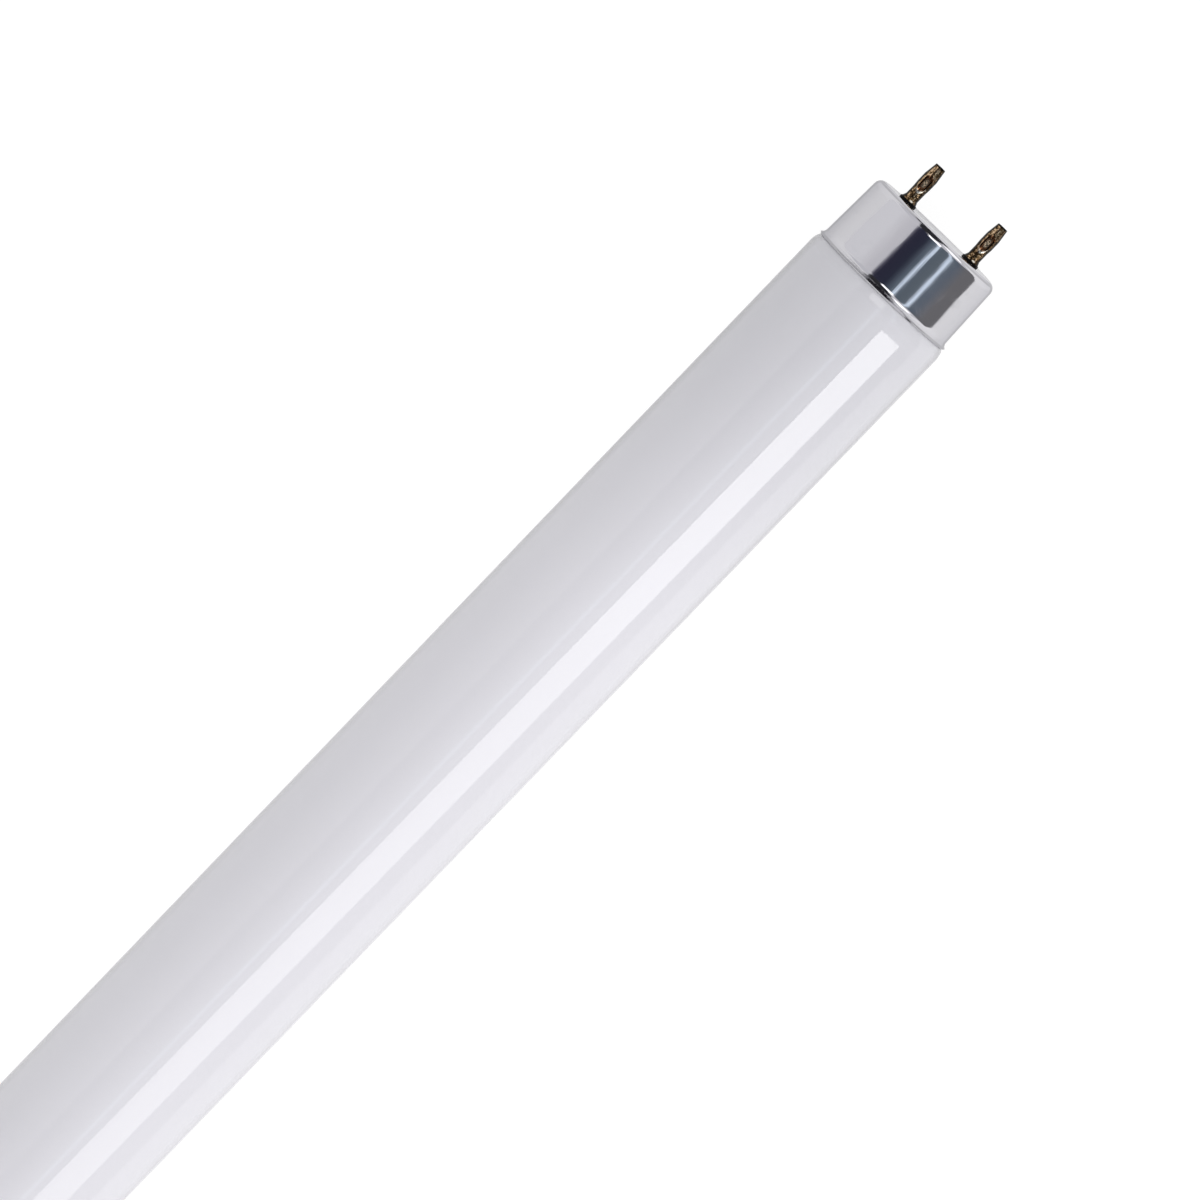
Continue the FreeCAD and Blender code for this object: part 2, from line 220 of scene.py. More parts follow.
def make_smudges():
    tree, given, result = new_group("smudges", {"Size": 12.0}, ["Mask"])
    spot = place(tree, "TexCoord").outputs["Object"]
    masks = []
    for layer in SMUDGE_LAYERS:
        noise = place(tree, "TexNoise")
        size = work_out(tree, "MULTIPLY", given.outputs["Size"], layer["share"])
        feed(tree, noise, Vector=spot, Scale=per_millimetre(tree, size))
        feed(tree, noise, Detail=layer["detail"], Roughness=0.65)
        masks.append(spread(tree, noise.outputs["Fac"], *SMUDGE_CLIP))
    feed(tree, result, Mask=overlap(tree, *masks))
    return tree


SMUDGES = make_smudges()
print("Group made:", SMUDGES.name)

# %% [markdown]
# Each finish starts the same way: an empty material with one Principled shader. Values that are the
# same all over, such as how strongly glass bends light, are set on the shader itself. Only what
# changes over the surface comes from nodes.

# %% Start a finish


def new_finish(title, metallic=0.0, bending=1.5):
    """A material with a Principled shader. Returns the material, its tree and the shader."""
    finish = bpy.data.materials.new(title)
    finish.use_nodes = True
    tree = finish.node_tree
    tree.nodes.clear()
    shader = place(tree, "BsdfPrincipled")
    feed(tree, shader, Metallic=metallic, IOR=bending)
    output = place(tree, "OutputMaterial")
    tree.links.new(shader.outputs["BSDF"], output.inputs["Surface"])
    return finish, tree, shader


def towards_outline(tree, start, full):
    """A mask that is 0 where the surface faces the eye and grows as it turns away to the outline."""
    facing = feed(tree, place(tree, "LayerWeight"), Blend=0.5)
    return spread(tree, facing.outputs["Facing"], start, full)


def use_group(tree, group, **values):
    """Place one of the shared groups in a material, with its own values."""
    node = place(tree, "Group", node_tree=group)
    return feed(tree, node, **values)


def bump(tree, height, distance, under=None):
    """Turn a height into a normal. The distance is the depth of the bumps in metres."""
    node = place(tree, "Bump")
    feed(tree, node, Height=height, Distance=distance, Strength=1.0)
    if under is not None:
        feed(tree, node, Normal=under)
    return node.outputs["Normal"]


print("Ready to make finishes")

# %% [markdown]
# The tube is clear glass with a white powder on its inside. The powder gives an even, slightly
# lavender white, and the glass over it gives a mirror-clean gloss. They could be two layers, a clear
# wall and a shell inside it, but that renders slowly and shows no more. One Principled shader does
# both: its base is the powder, and its smooth dielectric layer is the glass. Close to a cap less light
# gets inside, and a mask along X paints that as shade: the powder's colour is a little greyer there.
# Towards the outline the light passes the glass at a slant, and the powder's colour is painted darker
# there too, a painted shade. Large clouds and a fine grain, both very faint, keep the white from
# looking flat.

# %% The coated glass
POWDER = (0.815, 0.805, 0.855, 1.0)
# The next colour is painted shade: the powder greyer close to a cap.
POWDER_IN_PAINTED_END_SHADE = (0.70, 0.695, 0.74, 1.0)
# The next colour is painted shade: the powder darker towards its outline.
POWDER_IN_PAINTED_OUTLINE_SHADE = (0.42, 0.415, 0.44, 1.0)
POWDER_SPOTS = (
    {"size": 9.0, "detail": 2.0, "share": 0.125, "tint": (0.78, 0.772, 0.815, 1.0)},
    {"size": 0.35, "detail": 3.0, "share": 0.06, "tint": (0.74, 0.735, 0.77, 1.0)},
)
GREY_FROM, GREY_TO = CAP_START - 67.5 * MM, CAP_START - 0.5 * MM
SLANT_FROM = CAP_START - 92.5 * MM
SLANT_FADE, SLANT_SHARES = (0.57, 0.90), (0.35, 0.95)
GLASS_ROUGHNESS = (0.014, 0.06)
GLASS_LINE_DEPTH = 0.002 * MM


def distance_from_middle(tree):
    """How far along the tube a point lies from the tube's middle."""
    apart = place(tree, "SeparateXYZ")
    feed(tree, apart, Vector=place(tree, "TexCoord").outputs["Object"])
    return work_out(tree, "ABSOLUTE", apart.outputs["X"])


def make_coated_glass():
    finish, tree, shader = new_finish("coated_glass_finish", bending=1.52)
    along = distance_from_middle(tree)
    # Painted shade: the powder greys towards the cap.
    colour = blend_colours(tree, spread(tree, along, GREY_FROM, GREY_TO), POWDER, POWDER_IN_PAINTED_END_SHADE)
    for spots in POWDER_SPOTS:
        mask = use_group(tree, SPECKLE, Size=spots["size"], Detail=spots["detail"]).outputs["Mask"]
        colour = blend_colours(tree, work_out(tree, "MULTIPLY", mask, spots["share"]), colour, spots["tint"])
    # Painted shade: the powder darkens towards its outline, most near the cap.
    depth = spread(tree, along, SLANT_FROM, GREY_TO, *SLANT_SHARES, smooth=False)
    painted_outline_shade = overlap(tree, towards_outline(tree, *SLANT_FADE), depth)
    colour = blend_colours(tree, painted_outline_shade, colour, POWDER_IN_PAINTED_OUTLINE_SHADE)
    smudge = use_group(tree, SMUDGES, Size=22.0).outputs["Mask"]
    lines = use_group(tree, DRAWN_LINES, Length=160.0, Width=2.2).outputs["Height"]
    feed(tree, shader, Base_Color=colour, Roughness=spread(tree, smudge, 0.0, 1.0, *GLASS_ROUGHNESS))
    feed(tree, shader, Normal=bump(tree, lines, GLASS_LINE_DEPTH))
    return finish


COATED_GLASS = make_coated_glass()
print("Finish made:", COATED_GLASS.name, "with", len(COATED_GLASS.node_tree.nodes), "nodes")

# %% [markdown]
# The cap is thin aluminium, drawn into a cup and left bright. A metal has no colour under its
# reflections, so nearly all of its look is what it mirrors, and the edge tint dims what it mirrors close
# to its outline. The flared lip and the round corner are shapes of the solid. What a drawn wall does
# between them is finer, and a bump is enough for it: just before the lip the wall turns out and back a
# little, which decides where the mirrored crescents lie, and slow waves bend the mirrored edges.

# %% How the cap's wall turns near its lip
TURN_SLOPE = 0.51
TURN_OUT, TURN_OUT_WIDTH = CAP_START + 1.61 * MM, 0.61 * MM
TURN_BACK, TURN_BACK_WIDTH = CAP_START + 0.66 * MM, 0.37 * MM


def turn(tree, along, start, width):
    """The height of a wall that swings out towards the lip: a curve from a place, then a slope."""
    run = work_out(tree, "MAXIMUM", work_out(tree, "SUBTRACT", start, along), 0.0)
    near = work_out(tree, "MINIMUM", run, width)
    curve = work_out(tree, "MULTIPLY", overlap(tree, near, near), TURN_SLOPE / (2 * width))
    slope = work_out(tree, "MULTIPLY", work_out(tree, "SUBTRACT", run, near), TURN_SLOPE)
    return work_out(tree, "ADD", curve, slope)


def turned_wall(tree, along):
    """The normal of the wall that turns out before the lip and back at its edge. Heights are in metres."""
    turned_out = turn(tree, along, TURN_OUT, TURN_OUT_WIDTH)
    turned_back = turn(tree, along, TURN_BACK, TURN_BACK_WIDTH)
    return bump(tree, work_out(tree, "SUBTRACT", turned_out, turned_back), distance=1.0)


print("The wall turns out", round((TURN_OUT - CAP_START) / MM, 2), "mm from the lip's edge")

# %% [markdown]
# The colour of the metal changes little. Oxide and handling dull it in patches. Two thin rings are
# painted darker: one round the corner, and one at the edge of the lip, a painted shade where it meets
# the glass. The wall's colour is also painted darker at its outline, a painted shade, but not on the
# end face, because the face mirrors the bright table.

# %% The aluminium of the caps
ALUMINIUM = (0.645, 0.638, 0.668, 1.0)
OXIDE = (0.615, 0.61, 0.64, 1.0)
ALUMINIUM_EDGE = (0.80, 0.80, 0.82, 1.0)
ALUMINIUM_SHADE = (0.25, 0.245, 0.26, 1.0)
# A darker ring round the corner of the cap.
CORNER_RING = CAP_END - 0.37 * MM
CORNER_RING_RISE = (CORNER_RING - 0.20 * MM, CORNER_RING - 0.07 * MM)
CORNER_RING_FALL = (CORNER_RING + 0.07 * MM, CORNER_RING + 0.20 * MM)
# Painted shade at the edge of the lip, where it meets the glass.
LIP_SHADE_FADE = (CAP_START + 0.50 * MM, CAP_START + 0.30 * MM)
DARK_RING_SHARE = 0.45
# The painted shade at the wall's outline stops short of the end face.
WALL_FADE = (CAP_END - 0.04 * MM, CAP_END - 0.10 * MM)
OUTLINE_FADE = (0.72, 0.90)
GRAIN_SHARE = 0.3
ALUMINIUM_ROUGHNESS = (0.075, 0.15)
WAVE_DEPTH, METAL_LINE_DEPTH = 0.08 * MM, 0.004 * MM


def band(tree, value, rise, fall):
    """A mask that rises from 0 to 1 over one pair of values and falls back over a later pair."""
    return overlap(tree, spread(tree, value, *rise), spread(tree, value, fall[1], fall[0]))


def make_aluminium():
    finish, tree, shader = new_finish("aluminium_finish", metallic=1.0)
    patches = use_group(tree, SMUDGES, Size=5.0).outputs["Mask"]
    grain = use_group(tree, SPECKLE, Size=0.12, Detail=2.0).outputs["Mask"]
    lines = use_group(tree, DRAWN_LINES, Length=9.0, Width=0.16).outputs["Height"]
    waves = use_group(tree, DRAWN_LINES, Length=9.0, Width=5.0).outputs["Height"]
    along = distance_from_middle(tree)
    # A darker ring round the corner, and painted shade at the lip's edge.
    corner_ring = band(tree, along, CORNER_RING_RISE, CORNER_RING_FALL)
    dark_rings = work_out(tree, "MAXIMUM", corner_ring, spread(tree, along, *LIP_SHADE_FADE))
    # Painted shade: the wall's colour darkens towards its outline, but not on the end face.
    edge = overlap(tree, towards_outline(tree, *OUTLINE_FADE), spread(tree, along, *WALL_FADE))
    shade = work_out(tree, "MAXIMUM", edge, work_out(tree, "MULTIPLY", dark_rings, DARK_RING_SHARE))
    colour = blend_colours(tree, patches, ALUMINIUM, OXIDE)
    feed(tree, shader, Base_Color=blend_colours(tree, shade, colour, ALUMINIUM_SHADE))
    dull = work_out(tree, "MAXIMUM", patches, work_out(tree, "MULTIPLY", grain, GRAIN_SHARE))
    feed(tree, shader, Roughness=spread(tree, dull, 0.0, 1.0, *ALUMINIUM_ROUGHNESS))
    feed(tree, shader, Specular_Tint=ALUMINIUM_EDGE)
    wavy = bump(tree, waves, WAVE_DEPTH, under=turned_wall(tree, along))
    feed(tree, shader, Normal=bump(tree, lines, METAL_LINE_DEPTH, under=wavy))
    return finish


DRAWN_ALUMINIUM = make_aluminium()
print("Finish made:", DRAWN_ALUMINIUM.name, "with", len(DRAWN_ALUMINIUM.node_tree.nodes), "nodes")

# %% [markdown]
# The pins are brass tube, with an oval crimp that grips the lead wire. The crimp is a shape of the
# solid, and what is painted on it are ovals about its middle: a painted sheen on its floor, an
# orange-brown ring of painted shade round it, and a painted glint on the rim on the side that is nearer
# the cap, strongest in front. They could be painted on a picture for each pin. Instead, one distance
# that is 1 at the crimp's edge places them all, and because it is measured in the tube's own
# coordinates, one recipe serves all four pins.

# %% The painted shade, sheen and glint of the crimp
CRIMP, CRIMP_HALF = (CAP_END + 3.80 * MM, 0.0), (1.05 * MM, 0.50 * MM)
# Where the painted ring shade rises and falls, and how the grain breaks it.
RING_SHADE_RISE, RING_SHADE_FALL = (0.55, 0.85), (1.25, 1.55)
RING_SHADE_GRAIN = (0.3, 0.7, 0.9, 0.5)
FLOOR_FADE = (0.85, 0.50)
FLOOR_GRAIN = (0.75, 0.25, 0.25, 1.0)
RIM_RISE, RIM_FALL = (1.25, 1.42), (1.60, 1.85)
NEAR_CAP = (CRIMP[0] - 0.4 * MM, CRIMP[0] - 1.0 * MM)
IN_FRONT = (0.45 * MM, -0.10 * MM, 0.15, 1.0)


def place_on_pin(tree):
    """How far a point lies from the tube's middle, and how far it lies to the side of its pin's axis."""
    apart = place(tree, "SeparateXYZ")
    feed(tree, apart, Vector=place(tree, "TexCoord").outputs["Object"])
    along = work_out(tree, "ABSOLUTE", apart.outputs["X"])
    axis = work_out(tree, "MULTIPLY", work_out(tree, "SIGN", apart.outputs["Y"]), PIN_SIDE)
    return along, work_out(tree, "SUBTRACT", apart.outputs["Y"], axis)


def oval_round(tree, along, side, middle, half):
    """How far a point is from an oval's middle, where 1 is the oval's edge."""
    squares = []
    for value, centre, size in zip((along, side), middle, half):
        part = work_out(tree, "DIVIDE", work_out(tree, "SUBTRACT", value, centre), size)
        squares.append(overlap(tree, part, part))
    return work_out(tree, "SQRT", work_out(tree, "ADD", *squares))


def crimp_shade_sheen_and_glint(tree, along, side, grain):
    """The masks of the crimp's painted ring shade, of the painted sheen on its floor and of the painted glint
    on its rim.
    """
    crimp = oval_round(tree, along, side, CRIMP, CRIMP_HALF)
    # Painted shade in a ring round the crimp's floor, broken by the grain.
    heat_tint_and_ring_shade = overlap(tree, band(tree, crimp, RING_SHADE_RISE, RING_SHADE_FALL), spread(tree, grain, *RING_SHADE_GRAIN))
    # A painted sheen on the crimp's floor.
    floor_sheen = overlap(tree, spread(tree, crimp, *FLOOR_FADE), spread(tree, grain, *FLOOR_GRAIN))
    # A painted glint on the rim, near the cap and in front.
    rim_glint = band(tree, crimp, RIM_RISE, RIM_FALL)
    rim_glint = overlap(tree, rim_glint, spread(tree, along, *NEAR_CAP), spread(tree, side, *IN_FRONT))
    return heat_tint_and_ring_shade, floor_sheen, rim_glint


print("The crimp's middle lies", round((CRIMP[0] - CAP_END) / MM, 2), "mm out of the end face")

# %% [markdown]
# Brass that has been handled goes olive, brown and nearly black, and stays bright only in flecks. One
# noise would give spots of one size, so the average of two speckles says how aged each place is, a
# little more at the foot and less at the tip, which slides in the holder. The outline and the tip's
# rim are painted darkest, as painted shade, and one small spot at the foot has a painted glint.

# %% The brass of the pins
BRASS = (0.70, 0.50, 0.31, 1.0)
OLIVE = (0.19, 0.115, 0.050, 1.0)
BROWN = (0.028, 0.017, 0.008, 1.0)
# Painted shade of the crimp's walls, orange-brown, in a ring round its floor.
PAINTED_RING_SHADE = (0.50, 0.22, 0.10, 1.0)
# Painted shade at the pin's outline and the tip's rim.
PAINTED_OUTLINE_SHADE = (0.006, 0.005, 0.004, 1.0)
# A painted glint, on the crimp's rim and at the foot.
PAINTED_GLINT = (0.97, 0.90, 0.76, 1.0)
# A painted sheen on the crimp's floor.
PAINTED_FLOOR_SHEEN = (1.0, 0.76, 0.50, 1.0)
# Where the painted glint at the foot lies, and its size.
FOOT_GLINT, FOOT_GLINT_HALF = (CAP_END + 0.50 * MM, -0.35 * MM), (0.14 * MM, 0.30 * MM)
FOOT_GLINT_FADE = (1.2, 0.6)
FOOT_TO_TIP = (CRIMP[0] - 1.5 * MM, CRIMP[0] + 1.5 * MM, 0.06, -0.06)
TO_OLIVE, TO_BROWN = (0.26, 0.50), (0.50, 0.72)
OUTLINE_SHADE_FADE = (0.20, 0.46)
TIP_FADE = (PIN_TIP - 0.36 * MM, PIN_TIP - 0.18 * MM)
AGED_ROUGHNESS = (0.3, 0.7, 0.16, 0.34)
FLOOR_ROUGHNESS = 0.45
BRASS_GRAIN_DEPTH, BRASS_LINE_DEPTH = 0.004 * MM, 0.008 * MM


def make_brass():
    finish, tree, shader = new_finish("brass_finish", metallic=1.0)
    along, side = place_on_pin(tree)
    patches = use_group(tree, SPECKLE, Size=0.5, Detail=4.0).outputs["Mask"]
    grain = use_group(tree, SPECKLE, Size=0.24, Detail=3.0).outputs["Mask"]
    lines = use_group(tree, DRAWN_LINES, Length=2.0, Width=0.30).outputs["Height"]
    age = work_out(tree, "MULTIPLY", work_out(tree, "ADD", patches, grain), 0.5)
    age = work_out(tree, "ADD", age, spread(tree, along, *FOOT_TO_TIP))
    heat_tint_and_ring_shade, floor_sheen, rim_glint = crimp_shade_sheen_and_glint(tree, along, side, grain)
    # A painted glint on one small spot at the foot.
    foot = spread(tree, oval_round(tree, along, side, FOOT_GLINT, FOOT_GLINT_HALF), *FOOT_GLINT_FADE)
    tip = spread(tree, along, *TIP_FADE)
    # Painted shade at the outline and the tip's rim.
    outline = work_out(tree, "MAXIMUM", towards_outline(tree, *OUTLINE_SHADE_FADE), tip)
    colour = blend_colours(tree, spread(tree, age, *TO_OLIVE), BRASS, OLIVE)
    colour = blend_colours(tree, spread(tree, age, *TO_BROWN), colour, BROWN)
    layers = ((heat_tint_and_ring_shade, PAINTED_RING_SHADE), (floor_sheen, PAINTED_FLOOR_SHEEN), (rim_glint, PAINTED_GLINT), (outline, PAINTED_OUTLINE_SHADE), (foot, PAINTED_GLINT))
    for mask, tint in layers:
        colour = blend_colours(tree, mask, colour, tint)
    rougher_floor = work_out(tree, "MULTIPLY", floor_sheen, FLOOR_ROUGHNESS)
    rough = work_out(tree, "MAXIMUM", spread(tree, age, *AGED_ROUGHNESS), rougher_floor)
    feed(tree, shader, Base_Color=colour, Roughness=rough)
    uneven = bump(tree, grain, BRASS_GRAIN_DEPTH)
    feed(tree, shader, Normal=bump(tree, lines, BRASS_LINE_DEPTH, under=uneven))
    return finish


AGED_BRASS = make_brass()
print("Finish made:", AGED_BRASS.name, "with", len(AGED_BRASS.node_tree.nodes), "nodes")

# %% [markdown]
# The plate and its collars are moulded phenolic resin, almost black, filled with fine fibre. A plain
# black would look like a hole beside the metal. The filler shows as a faint brown fleck and breaks up
# the shine, and the speckle is raised to a power, so that most of the surface stays black.

# %% The black phenolic of the plates
PHENOLIC = (0.002, 0.0018, 0.0018, 1.0)
FILLER = (0.012, 0.009, 0.007, 1.0)
FLECK_POWER = 3.0
PHENOLIC_ROUGHNESS = (0.38, 0.62)
PHENOLIC_SHINE = 0.07
FLECK_DEPTH = 0.01 * MM


def make_phenolic():
    finish, tree, shader = new_finish("phenolic_finish", bending=1.55)
    fleck = use_group(tree, SPECKLE, Size=0.25, Detail=5.0).outputs["Mask"]
    smudge = use_group(tree, SMUDGES, Size=4.0).outputs["Mask"]
    share = work_out(tree, "POWER", fleck, FLECK_POWER)
    feed(tree, shader, Base_Color=blend_colours(tree, share, PHENOLIC, FILLER))
    feed(tree, shader, Roughness=spread(tree, smudge, 0.0, 1.0, *PHENOLIC_ROUGHNESS))
    feed(tree, shader, Specular_IOR_Level=PHENOLIC_SHINE)
    feed(tree, shader, Normal=bump(tree, fleck, FLECK_DEPTH))
    return finish


BLACK_PHENOLIC = make_phenolic()
print("Finish made:", BLACK_PHENOLIC.name)

# %% [markdown]
# The cement that holds the cap on is a baked mix of marble powder and resin: a dull sandy tan with
# pale grains. It is hidden in the finished lamp, and could share the finish of a neighbour, but in a
# cut view it has to look like cement. A fine speckle gives the grains, and a coarse one the lumps.

# %% The cement
CEMENT = (0.42, 0.33, 0.22, 1.0)
MARBLE = (0.66, 0.61, 0.52, 1.0)
CEMENT_ROUGHNESS = (0.75, 0.95)
MARBLE_GRAIN_DEPTH = 0.06 * MM


def make_cement():
    finish, tree, shader = new_finish("cement_finish", bending=1.45)
    grains = use_group(tree, SPECKLE, Size=0.3, Detail=5.0).outputs["Mask"]
    lumps = use_group(tree, SPECKLE, Size=1.6, Detail=2.0).outputs["Mask"]
    feed(tree, shader, Base_Color=blend_colours(tree, grains, CEMENT, MARBLE))
    feed(tree, shader, Roughness=spread(tree, lumps, 0.0, 1.0, *CEMENT_ROUGHNESS))
    feed(tree, shader, Normal=bump(tree, grains, MARBLE_GRAIN_DEPTH))
    return finish


BAKED_CEMENT = make_cement()
print("Finish made:", BAKED_CEMENT.name)

# %% [markdown]
# The lead wires are nickel-plated. Drawing leaves fine lines along them, and heat from the sealing
# fire leaves them a little yellow in places. The groups for lines and for smudges give both, so this
# finish needs few nodes of its own.

# %% The nickel of the lead wires
NICKEL = (0.56, 0.53, 0.48, 1.0)
HEATED = (0.40, 0.33, 0.24, 1.0)
NICKEL_ROUGHNESS = (0.3, 0.7, 0.22, 0.4)
WIRE_LINE_DEPTH = 0.005 * MM


def make_nickel():
    finish, tree, shader = new_finish("nickel_finish", metallic=1.0)
    heat_tint_and_ring_shade = use_group(tree, SMUDGES, Size=6.0).outputs["Mask"]
    lines = use_group(tree, DRAWN_LINES, Length=4.0, Width=0.06).outputs["Height"]
    feed(tree, shader, Base_Color=blend_colours(tree, heat_tint_and_ring_shade, NICKEL, HEATED))
    feed(tree, shader, Roughness=spread(tree, lines, *NICKEL_ROUGHNESS))
    feed(tree, shader, Normal=bump(tree, lines, WIRE_LINE_DEPTH))
    return finish


PLATED_WIRE = make_nickel()
print("Finish made:", PLATED_WIRE.name)

# %% [markdown]
# The start of a piece's name says what it is, so the same word leads it to its finish, and both ends
# of the tube are finished alike.

# %% Give every piece its finish
FINISHES = {
    "glass_tube": COATED_GLASS,
    "cap": DRAWN_ALUMINIUM,
    "insulator": BLACK_PHENOLIC,
    "cement": BAKED_CEMENT,
    "pin": AGED_BRASS,
    "lead_wire": PLATED_WIRE,
}

for name, piece in NODES.items():
    kind = next(kind for kind in FINISHES if name.startswith(kind))
    for slot in piece.material_slots:
        slot.material = FINISHES[kind]
    print(f"{name}: {FINISHES[kind].name}")

# %% [markdown]
# The studio round the tube is a table, a light tent and some cards. In a catalogue picture the white
# parts of it are so bright that they merge. So the camera, and what mirrors and glass show, get such a
# surface as plain white, while the light that it throws on the tube stays at its own, softer level. The
# Light Path node tells the two apart.

# %% Helpers for the studio
WHITE = (1.0, 1.0, 1.0, 1.0)


def seen_as_plain(tree, to_camera=1.0, in_mirrors=1.0):
    """How far something shows as plain white: to the camera, and in mirrors and through glass."""
    path = place(tree, "LightPath")
    mirrored = work_out(tree, "MAXIMUM", path.outputs["Is Glossy Ray"], path.outputs["Is Transmission Ray"])
    straight = work_out(tree, "MULTIPLY", path.outputs["Is Camera Ray"], to_camera)
    return work_out(tree, "MAXIMUM", straight, work_out(tree, "MULTIPLY", mirrored, in_mirrors))


def new_stage_piece(title, mesh, material):
    """A mesh from a bmesh that belongs to the studio and not to the tube."""
    data = bpy.data.meshes.new(title)
    mesh.to_mesh(data)
    mesh.free()
    data.materials.append(material)
    piece = bpy.data.objects.new(title, data)
    bpy.context.scene.collection.objects.link(piece)
    return piece


print("Ready to build the studio")

# %% [markdown]
# The table is wide and white, and only a trace of the tube's shadow is left on it. It could be lit until
# it is white, but that light would wash out the tube, so it shows mostly as plain white with a share of
# its true shading. What the metal mirrors of it is painted uneven: painted brighter in front than
# behind and past the end of the cap, and a narrow strip there has a painted shadow of the end face.
# From below the table is clear, so that the tube's underside can be seen.

# %% The table
TABLE_SIZE = 12.0
PAPER = (0.9, 0.9, 0.9, 1.0)
PLAIN_STRENGTH = 1.14
PLAIN_TO_CAMERA = 0.76
# Painted light and shadow in what mirrors see of the table.
PAINTED_FRONT_TO_BACK = (-0.05, 0.03, 0.58, 0.33)
CAP_SHADE_RISE = (CAP_END - 0.3 * MM, CAP_END + 0.1 * MM)
CAP_SHADE_FALL = (CAP_END + 0.5 * MM, CAP_END + 0.8 * MM)
PAINTED_GAIN_PAST_END = (1.0, 1.35)
PAINTED_END_SHADOW = 0.6


def plain_in_mirrors(tree):
    """How plain the table shows in mirrors: painted lighter in front and past the end, with a painted shadow
    strip of the end face.
    """
    apart = place(tree, "SeparateXYZ")
    feed(tree, apart, Vector=place(tree, "TexCoord").outputs["Object"])
    share = spread(tree, apart.outputs["Y"], *PAINTED_FRONT_TO_BACK)
    ahead = work_out(tree, "ABSOLUTE", apart.outputs["X"])
    # Painted: the table brighter in mirrors past the end, and a painted shadow strip of the end face.
    painted_gain = spread(tree, ahead, *CAP_SHADE_RISE, *PAINTED_GAIN_PAST_END)
    shade = work_out(tree, "MULTIPLY", band(tree, ahead, CAP_SHADE_RISE, CAP_SHADE_FALL), PAINTED_END_SHADOW)
    return overlap(tree, share, painted_gain, work_out(tree, "SUBTRACT", 1.0, shade))


def make_table_white():
    surface = bpy.data.materials.new("table_white")
    surface.use_nodes = True
    tree = surface.node_tree
    tree.nodes.clear()
    paper = feed(tree, place(tree, "BsdfDiffuse"), Color=PAPER)
    plain = feed(tree, place(tree, "Emission"), Color=WHITE, Strength=PLAIN_STRENGTH)
    from_above = place(tree, "MixShader")
    tree.links.new(seen_as_plain(tree, PLAIN_TO_CAMERA, plain_in_mirrors(tree)), from_above.inputs[0])
    tree.links.new(paper.outputs[0], from_above.inputs[1])
    tree.links.new(plain.outputs[0], from_above.inputs[2])
    from_below = place(tree, "MixShader")
    tree.links.new(place(tree, "NewGeometry").outputs["Backfacing"], from_below.inputs[0])
    tree.links.new(from_above.outputs[0], from_below.inputs[1])
    tree.links.new(place(tree, "BsdfTransparent").outputs[0], from_below.inputs[2])
    tree.links.new(from_below.outputs[0], place(tree, "OutputMaterial").inputs["Surface"])
    return surface


def make_table():
    mesh = bmesh.new()
    bmesh.ops.create_grid(mesh, x_segments=1, y_segments=1, size=TABLE_SIZE / 2)
    bmesh.ops.translate(mesh, verts=mesh.verts, vec=(0, 0, CAD_BOX[0].z))
    return new_stage_piece("table", mesh, make_table_white())


TABLE = make_table()
print("Piece made:", TABLE.name, "at height", round(CAD_BOX[0].z, 5))

# %% [markdown]
# The room is a white light tent. Its soft light comes from the world. What the camera and the mirrors
# see of it is a plain white of strength 1, and what lights the tube is a lower level, which falls
# from front to back.

# %% The light tent
TENT_LIGHT = 0.57
TENT_TILT = 0.3
TENT_LEVELS = (TENT_LIGHT * (1 + TENT_TILT), TENT_LIGHT * (1 - TENT_TILT))


def make_tent():
    world = bpy.data.worlds.new("tent")
    bpy.context.scene.world = world
    world.use_nodes = True
    tree = world.node_tree
    tree.nodes.clear()
    light = feed(tree, place(tree, "Background"), Color=WHITE)
    apart = place(tree, "SeparateXYZ")
    feed(tree, apart, Vector=place(tree, "TexCoord").outputs["Generated"])
    level = spread(tree, apart.outputs["Y"], -1.0, 1.0, *TENT_LEVELS, smooth=False)
    strength = place(tree, "Mix", data_type="FLOAT")
    feed(tree, strength, Factor=seen_as_plain(tree), A=level, B=1.0)
    feed(tree, light, Strength=strength.outputs["Result"])
    tree.links.new(light.outputs[0], place(tree, "OutputWorld").inputs["Surface"])


make_tent()
print("Tent light from front to back:", [round(level, 3) for level in TENT_LEVELS])

# %% [markdown]
# A round polished part mirrors the whole studio, squeezed into thin bands. The dark and bright bands
# of the cap, and the square-ended strip along the glass, are pictures of flags and lamps beside the
# camera. Real lamps and boards would work too, but they also light the powder and throw shadows. So
# each is a glowing card that shows in mirrors only, and neither blocks the view nor changes the soft
# light. Across a card runs one ramp of colours, and along it a second ramp dims them.

# %% The glow of a card
EVEN = [(0.0, (1.0, 1.0, 1.0)), (1.0, (1.0, 1.0, 1.0))]


def new_ramp(tree, value, stops):
    """A colour ramp: each stop is a place from 0 to 1 and the colour there."""
    ramp = place(tree, "ValToRGB")
    elements = ramp.color_ramp.elements
    while len(elements) < len(stops):
        elements.new(0.5)
    for element, (spot, colour) in zip(elements, stops):
        element.position = spot
        element.color = (*colour, 1.0)
    tree.links.new(value, ramp.inputs["Fac"])
    return ramp.outputs["Color"]


